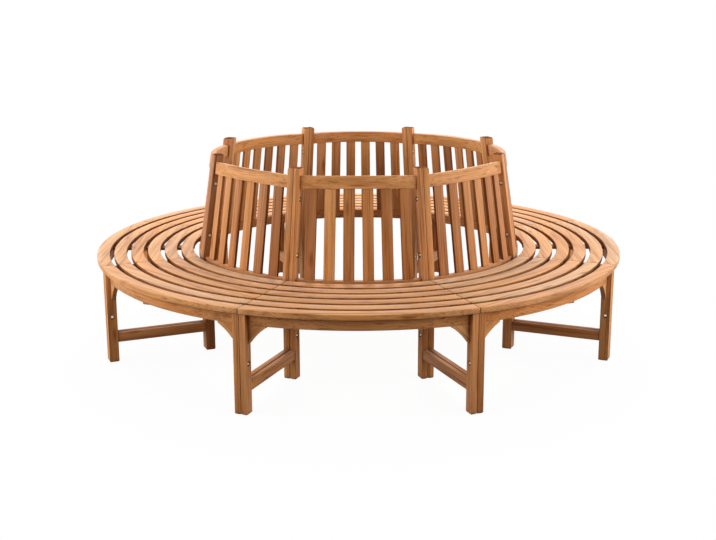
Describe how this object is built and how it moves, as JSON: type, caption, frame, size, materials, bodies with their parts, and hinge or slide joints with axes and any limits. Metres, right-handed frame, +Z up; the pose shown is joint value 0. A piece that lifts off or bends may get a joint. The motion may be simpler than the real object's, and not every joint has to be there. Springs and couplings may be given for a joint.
{
  "type": "tree bench",
  "caption": "Round slatted wooden tree bench: curved sections bolted leg to leg into a closed ring round a trunk, with a leaning slatted back behind the whole seat.",
  "frame": {"origin": "centre of the ring, at ground level under the trunk space", "axes": "+Z up along the trunk; -Y out of the first section, towards whoever looks at the bench's front; +X to that viewer's right"},
  "size_m": [2.2, 2.2, 0.812],
  "materials": {
    "oiled_hardwood": "planed, oiled tropical hardwood, satin, with straight grain",
    "bolt_steel": "bright zinc-plated steel"
  },
  "bodies": {
    "root": {"seat_slats_1": "oiled_hardwood", "seat_slats_2": "oiled_hardwood", "seat_slats_3": "oiled_hardwood", "seat_slats_4": "oiled_hardwood", "seat_slats_5": "oiled_hardwood", "seat_slats_6": "oiled_hardwood", "seat_slats_7": "oiled_hardwood", "seat_slats_8": "oiled_hardwood", "front_apron_1": "oiled_hardwood", "front_apron_2": "oiled_hardwood", "front_apron_3": "oiled_hardwood", "front_apron_4": "oiled_hardwood", "front_apron_5": "oiled_hardwood", "front_apron_6": "oiled_hardwood", "front_apron_7": "oiled_hardwood", "front_apron_8": "oiled_hardwood", "front_legs_1": "oiled_hardwood", "front_legs_2": "oiled_hardwood", "front_legs_3": "oiled_hardwood", "front_legs_4": "oiled_hardwood", "front_legs_5": "oiled_hardwood", "front_legs_6": "oiled_hardwood", "front_legs_7": "oiled_hardwood", "front_legs_8": "oiled_hardwood", "back_posts_1": "oiled_hardwood", "back_posts_2": "oiled_hardwood", "back_posts_3": "oiled_hardwood", "back_posts_4": "oiled_hardwood", "back_posts_5": "oiled_hardwood", "back_posts_6": "oiled_hardwood", "back_posts_7": "oiled_hardwood", "back_posts_8": "oiled_hardwood", "rear_seat_rail_1": "oiled_hardwood", "rear_seat_rail_2": "oiled_hardwood", "rear_seat_rail_3": "oiled_hardwood", "rear_seat_rail_4": "oiled_hardwood", "rear_seat_rail_5": "oiled_hardwood", "rear_seat_rail_6": "oiled_hardwood", "rear_seat_rail_7": "oiled_hardwood", "rear_seat_rail_8": "oiled_hardwood", "back_slats_1": "oiled_hardwood", "back_slats_2": "oiled_hardwood", "back_slats_3": "oiled_hardwood", "back_slats_4": "oiled_hardwood", "back_slats_5": "oiled_hardwood", "back_slats_6": "oiled_hardwood", "back_slats_7": "oiled_hardwood", "back_slats_8": "oiled_hardwood", "top_rail_1": "oiled_hardwood", "top_rail_2": "oiled_hardwood", "top_rail_3": "oiled_hardwood", "top_rail_4": "oiled_hardwood", "top_rail_5": "oiled_hardwood", "top_rail_6": "oiled_hardwood", "top_rail_7": "oiled_hardwood", "top_rail_8": "oiled_hardwood", "seat_bearers": "oiled_hardwood", "floor_stretchers": "oiled_hardwood", "corner_brackets": "oiled_hardwood", "joint_bolts": "bolt_steel"}
  },
  "joints": []
}
